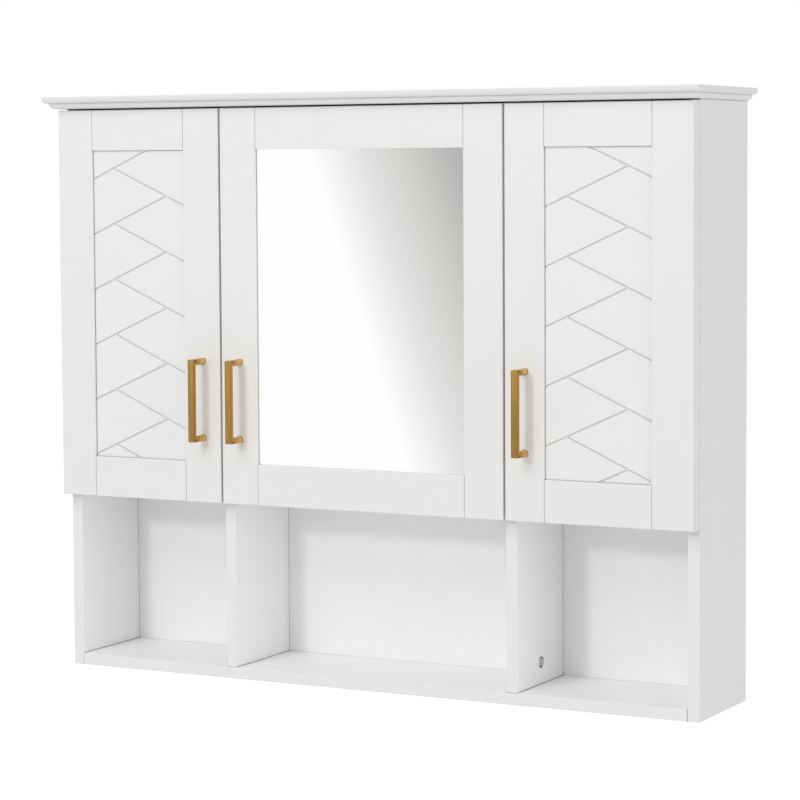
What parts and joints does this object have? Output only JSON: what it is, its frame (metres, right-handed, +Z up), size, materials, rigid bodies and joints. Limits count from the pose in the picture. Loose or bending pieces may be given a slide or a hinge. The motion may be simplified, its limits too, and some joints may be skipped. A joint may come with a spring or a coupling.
{
  "type": "wall-hung mirror cabinet",
  "caption": "Shallow wall cabinet with hinged framed doors, a mirror in the middle one, over open shelf bays and under a moulded cornice, with flat bar handles.",
  "frame": {"origin": "the wall plane, at the middle of the cabinet's width and level with its underside", "axes": "+X along the wall to the viewer's right, +Y into the wall, +Z up; the doors face -Y"},
  "size_m": [0.9, 0.198, 0.736],
  "materials": {
    "lacquered_board": "white satin lacquer on fibreboard",
    "lacquered_back": "white satin film on thin fibreboard",
    "raw_board": "raw hardboard",
    "beech": "raw turned beech",
    "mirror": "silvered float glass",
    "brass": "antique brushed brass",
    "plated_steel": "nickel-plated steel",
    "zinc": "die-cast zinc",
    "pad": "soft clear pad"
  },
  "bodies": {
    "cabinet": {"left_side_panel": "lacquered_board", "right_side_panel": "lacquered_board", "top_panel": "lacquered_board", "bottom_panel": "lacquered_board", "fixed_shelf": "lacquered_board", "lower_left_divider": "lacquered_board", "lower_right_divider": "lacquered_board", "upper_left_divider": "lacquered_board", "upper_right_divider": "lacquered_board", "back_panel": "lacquered_back", "hanging_rail": "lacquered_board", "left_adjustable_shelf": "lacquered_board", "middle_adjustable_shelf": "lacquered_board", "right_adjustable_shelf": "lacquered_board", "shelf_pins": "plated_steel", "cam_locks": "zinc", "cam_bolts": "plated_steel", "carcass_dowels": "beech", "left_hinge_arms": "plated_steel", "middle_hinge_arms": "plated_steel", "right_hinge_arms": "plated_steel", "hinge_plates": "plated_steel", "hinge_plate_screws": "plated_steel", "hinge_arm_screws": "plated_steel"},
    "left_door": {"left_door_hinge_stile": "lacquered_board", "left_door_handle_stile": "lacquered_board", "left_door_top_rail": "lacquered_board", "left_door_bottom_rail": "lacquered_board", "left_door_panel": "lacquered_board", "left_handle": "brass", "left_handle_screws": "plated_steel", "left_hinge_cups": "plated_steel", "left_hinge_pins": "plated_steel", "left_hinge_cup_screws": "plated_steel", "left_door_bumpers": "pad"},
    "middle_door": {"middle_door_hinge_stile": "lacquered_board", "middle_door_handle_stile": "lacquered_board", "middle_door_top_rail": "lacquered_board", "middle_door_bottom_rail": "lacquered_board", "mirror_glass": "mirror", "mirror_backing": "raw_board", "mirror_beads": "lacquered_board", "middle_handle": "brass", "middle_handle_screws": "plated_steel", "middle_hinge_cups": "plated_steel", "middle_hinge_pins": "plated_steel", "middle_hinge_cup_screws": "plated_steel", "middle_door_bumpers": "pad"},
    "right_door": {"right_door_hinge_stile": "lacquered_board", "right_door_handle_stile": "lacquered_board", "right_door_top_rail": "lacquered_board", "right_door_bottom_rail": "lacquered_board", "right_door_panel": "lacquered_board", "right_handle": "brass", "right_handle_screws": "plated_steel", "right_hinge_cups": "plated_steel", "right_hinge_pins": "plated_steel", "right_hinge_cup_screws": "plated_steel", "right_door_bumpers": "pad"}
  },
  "joints": [
    {"name": "left_door_swing", "type": "hinge", "parent": "cabinet", "child": "left_door", "pos_m": [-0.4305, -0.1642, 0.472], "axis": [0, 0, -1], "range_deg": [0, 95]},
    {"name": "middle_door_swing", "type": "hinge", "parent": "cabinet", "child": "middle_door", "pos_m": [0.1885, -0.1642, 0.472], "axis": [0, 0, 1], "range_deg": [0, 95]},
    {"name": "right_door_swing", "type": "hinge", "parent": "cabinet", "child": "right_door", "pos_m": [0.4305, -0.1642, 0.472], "axis": [0, 0, 1], "range_deg": [0, 95]}
  ]
}
